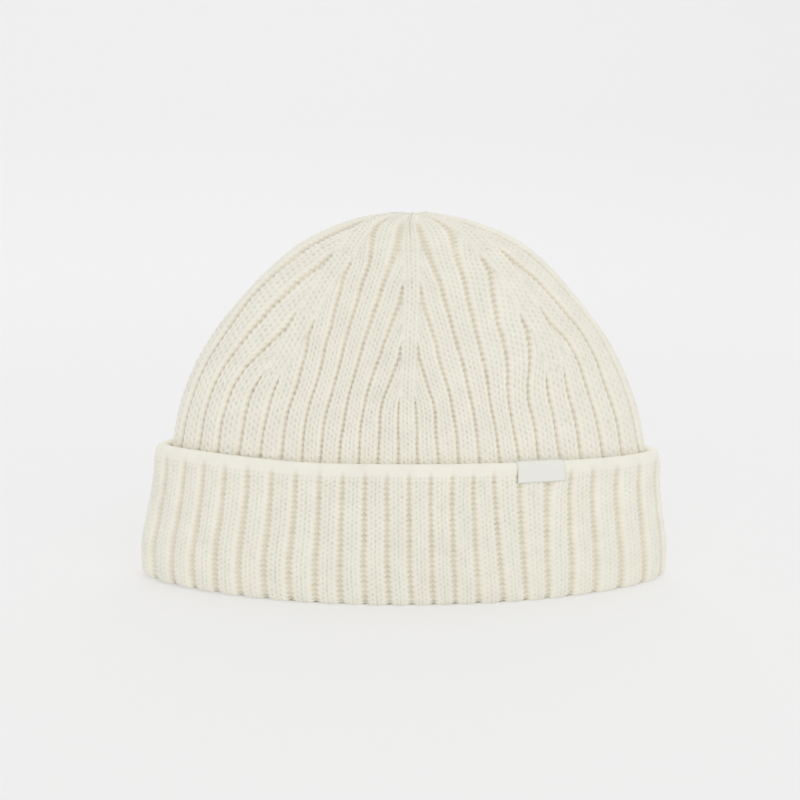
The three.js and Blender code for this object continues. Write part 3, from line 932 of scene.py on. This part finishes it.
# %% Helpers for materials
def linear(hex_colour):
    """An sRGB hex colour as linear numbers with alpha."""
    channels = [int(hex_colour[i:i + 2], 16) / 255 for i in (1, 3, 5)]
    return [c / 12.92 if c <= 0.04045 else ((c + 0.055) / 1.055) ** 2.4 for c in channels] + [1.0]


def add_node(tree, kind, sockets=None, **settings):
    """Adds a shader node. Each socket is given a value or the socket that it is linked to."""
    node = tree.nodes.new("ShaderNode" + kind)
    for name, value in settings.items():
        setattr(node, name, value)
    for name, value in (sockets or {}).items():
        if isinstance(value, bpy.types.NodeSocket):
            tree.links.new(value, node.inputs[name])
        else:
            node.inputs[name].default_value = value
    return node


def new_material(name):
    """A material with its node tree and its empty surface shader."""
    material = bpy.data.materials.new(name)
    material.use_nodes = True
    return material, material.node_tree, material.node_tree.nodes["Principled BSDF"]


# %% [markdown]
# Ivory merino yarn: matt and a little fuzzy. In the grooves and gaps its colour is painted warmer and darker,
# a painted shade for the light that bounces from wall to wall there. Its fibres give it a soft grain. Real
# ones are far too fine to show, so the grain is drawn at half a millimetre. A cloudy mottle, a few stitches
# wide, keeps the yarn from looking printed.

# %% Ivory merino knit
YARN_COLOUR = "#F9F6EA"
# painted shade: the colour that the grooves and gaps get in place of their shade
PAINTED_SHADE_COLOUR = "#ECE0C0"
FIBRE_SIZE = 0.5  # mm
FIBRE_HEIGHT = 0.15
MOTTLE_SIZE = 9
GROOVE_SHADE = 0.3  # share of the painted shade colour at the bottom of a groove
GROOVE_POWER = 2.2  # the walls of a groove get little of it
GAP_SHADE = 0.65  # share of the painted shade in a gap between the legs
LIGHTNESS = {"From Min": 0.3, "From Max": 0.7, "To Min": 0.97, "To Max": 1.02}  # of a noise, on the yarn
wool, tree, shader = new_material("ivory_merino_knit")
object_place = add_node(tree, "TexCoord").outputs["Object"]
groove = add_node(tree, "Attribute", attribute_name="groove_depth").outputs["Fac"]
gap = add_node(tree, "Attribute", attribute_name="painted_gap_shade").outputs["Fac"]
fibres = add_node(tree, "TexNoise", {
    "Vector": object_place, "Scale": 1 / (FIBRE_SIZE * MM), "Detail": 3.0, "Roughness": 0.6,
}).outputs["Fac"]
mottle = add_node(tree, "TexNoise", {
    "Vector": object_place, "Scale": 1 / (MOTTLE_SIZE * MM), "Detail": 2.0,
}).outputs["Fac"]
# painted shade: the yarn turns towards the shaded colour in deep grooves and in the gaps between the legs
deep = add_node(tree, "Math", {0: groove, 1: GROOVE_POWER}, operation="POWER").outputs[0]
groove_painted_shade = add_node(tree, "Math", {0: deep, 1: GROOVE_SHADE}, operation="MULTIPLY").outputs[0]
painted_shade = add_node(tree, "Math", {
    0: gap, 1: GAP_SHADE, 2: groove_painted_shade,
}, operation="MULTIPLY_ADD", use_clamp=True).outputs[0]
tone = add_node(tree, "Mix", {
    "Factor": painted_shade, 6: linear(YARN_COLOUR), 7: linear(PAINTED_SHADE_COLOUR),
}, data_type="RGBA").outputs[2]
cloud = add_node(tree, "MapRange", {"Value": mottle, **LIGHTNESS}).outputs[0]
grain = add_node(tree, "MapRange", {"Value": fibres, **LIGHTNESS}).outputs[0]
shade = add_node(tree, "Math", {0: cloud, 1: grain}, operation="MULTIPLY").outputs[0]
colour = add_node(tree, "VectorMath", {0: tone, "Scale": shade}, operation="SCALE").outputs[0]
bump = add_node(tree, "Bump", {"Height": fibres, "Strength": 0.5, "Distance": FIBRE_HEIGHT * MM}).outputs[0]
tree.links.new(colour, shader.inputs["Base Color"])
tree.links.new(bump, shader.inputs["Normal"])
shader.inputs["Roughness"].default_value = 0.95
shader.inputs["Specular IOR Level"].default_value = 0.2
shader.inputs["Sheen Weight"].default_value = 0.15
shader.inputs["Sheen Roughness"].default_value = 0.5

# %% [markdown]
# White satin ribbon: its threads float over several others at a time and lie so close that the weave
# doesn't show. The face is smooth and cool beside the yarn, with a soft sheen and no sharp highlight.

# %% White satin ribbon
satin, _, shader = new_material("white_satin_ribbon")
shader.inputs["Base Color"].default_value = linear("#F0F0E9")
shader.inputs["Roughness"].default_value = 0.5

# %% [markdown]
# Each piece gets its material and stands in for its solid. All ride on the hat's one body, because nothing
# on the hat moves by itself.

# %% Dress the pieces
DRESSING = [
    (crown, wool, "crown", "wool"),
    (cuff, wool, "cuff", "wool"),
    (label, satin, "label", "satin"),
]
for piece, material, node, slot in DRESSING:
    piece.data.materials.clear()
    piece.data.materials.append(material)
    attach(piece, "root")
    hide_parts(node)

# %% [markdown]
# The studio: a pale sheet which curves up far behind, on every side, so that the ground has no edge. Much
# of the sheet's brightness is its own even glow, painted light that keeps the hat's shadow pale up to the
# rim. Where the sheet turns up and faces the front light, it is made a touch darker, which keeps the
# picture even.

# %% Floor and backdrop
FLOOR_RADIUS = 1.6  # m
FLOOR_SIDES = 96
COVE_RADIUS = 0.8
COVE_STEPS = 12
WALL_HEIGHT = 0.9
SHEET_TONE = 0.62  # share of the light that the sheet throws back
SHEET_GLOW = 0.33  # painted light: the sheet's own glow, which lifts the hat's shadow
WALL_SHADE = 0.935  # share of its tone that the sheet keeps where it turns up: painted shade against the front light
SHADE_HEIGHT = 0.35  # m, from where on it has only that share
bpy.ops.mesh.primitive_circle_add(vertices=FLOOR_SIDES, radius=FLOOR_RADIUS, fill_type="NGON")
floor = bpy.context.object
floor.name = "studio_floor"
bpy.ops.object.mode_set(mode="EDIT")
bpy.ops.mesh.select_all(action="SELECT")
bpy.ops.mesh.select_mode(type="EDGE")
bpy.ops.mesh.region_to_loop()
for step in range(COVE_STEPS):
    before = math.pi / 2 * step / COVE_STEPS
    after = math.pi / 2 * (step + 1) / COVE_STEPS
    scale = (FLOOR_RADIUS + COVE_RADIUS * math.sin(after)) / (FLOOR_RADIUS + COVE_RADIUS * math.sin(before))
    bpy.ops.mesh.extrude_edges_move(
        TRANSFORM_OT_translate={"value": (0, 0, COVE_RADIUS * (math.cos(before) - math.cos(after)))}
    )
    bpy.ops.transform.resize(value=(scale, scale, 1))
bpy.ops.mesh.extrude_edges_move(TRANSFORM_OT_translate={"value": (0, 0, WALL_HEIGHT - COVE_RADIUS)})
bpy.ops.object.mode_set(mode="OBJECT")
bpy.ops.object.shade_smooth()
sheet_material, tree, shader = new_material("glowing_studio_sheet")
sheet_height = add_node(tree, "SeparateXYZ", {
    "Vector": add_node(tree, "TexCoord").outputs["Object"],
}).outputs["Z"]
# painted shade: the sheet's colour gets darker where it turns up and faces the front light
sheet_tone = add_node(tree, "MapRange", {
    "Value": sheet_height, "From Min": 0.0, "From Max": SHADE_HEIGHT,
    "To Min": SHEET_TONE, "To Max": SHEET_TONE * WALL_SHADE,
}).outputs[0]
sheet_colour = add_node(tree, "VectorMath", {
    0: linear("#FBFBFB")[:3], "Scale": sheet_tone,
}, operation="SCALE").outputs[0]
tree.links.new(sheet_colour, shader.inputs["Base Color"])
# painted light: the sheet glows evenly by itself, so the hat's shadow on it stays pale
shader.inputs["Emission Color"].default_value = linear("#FFFFFF")
shader.inputs["Emission Strength"].default_value = SHEET_GLOW
shader.inputs["Roughness"].default_value = 1.0
shader.inputs["Specular IOR Level"].default_value = 0.0
floor.data.materials.append(sheet_material)
bpy.ops.object.select_all(action="DESELECT")

# %% [markdown]
# The photo's light is very soft. Much of it comes from all round, more from the front, and some from above
# and behind, which lays a faint shadow on the ground in front of the hat. The last two are suns with a very
# wide disc, so that they light the ground evenly.

# %% Light
AIR_STRENGTH = 0.62
SUNS = [
    {"name": "front_light", "towards": (0.15, -1, 0.6), "strength": 0.9, "width": 80},
    {"name": "top_light", "towards": (0.1, 0.5, 1), "strength": 0.44, "width": 60},
]
world = bpy.data.worlds.new("studio_air")
world.use_nodes = True
bpy.context.scene.world = world
world.node_tree.nodes["Background"].inputs["Color"].default_value = linear("#FFFFFF")
world.node_tree.nodes["Background"].inputs["Strength"].default_value = AIR_STRENGTH
for sun in SUNS:
    aim = mathutils.Vector(sun["towards"])
    bpy.ops.object.light_add(type="SUN", location=aim, rotation=aim.to_track_quat("Z", "Y").to_euler())
    light = bpy.context.object
    light.name = sun["name"]
    light.data.energy = sun["strength"]
    light.data.angle = math.radians(sun["width"])
bpy.ops.object.select_all(action="DESELECT")
bpy.context.scene.view_settings.view_transform = "Standard"
bpy.context.scene.view_settings.look = "None"
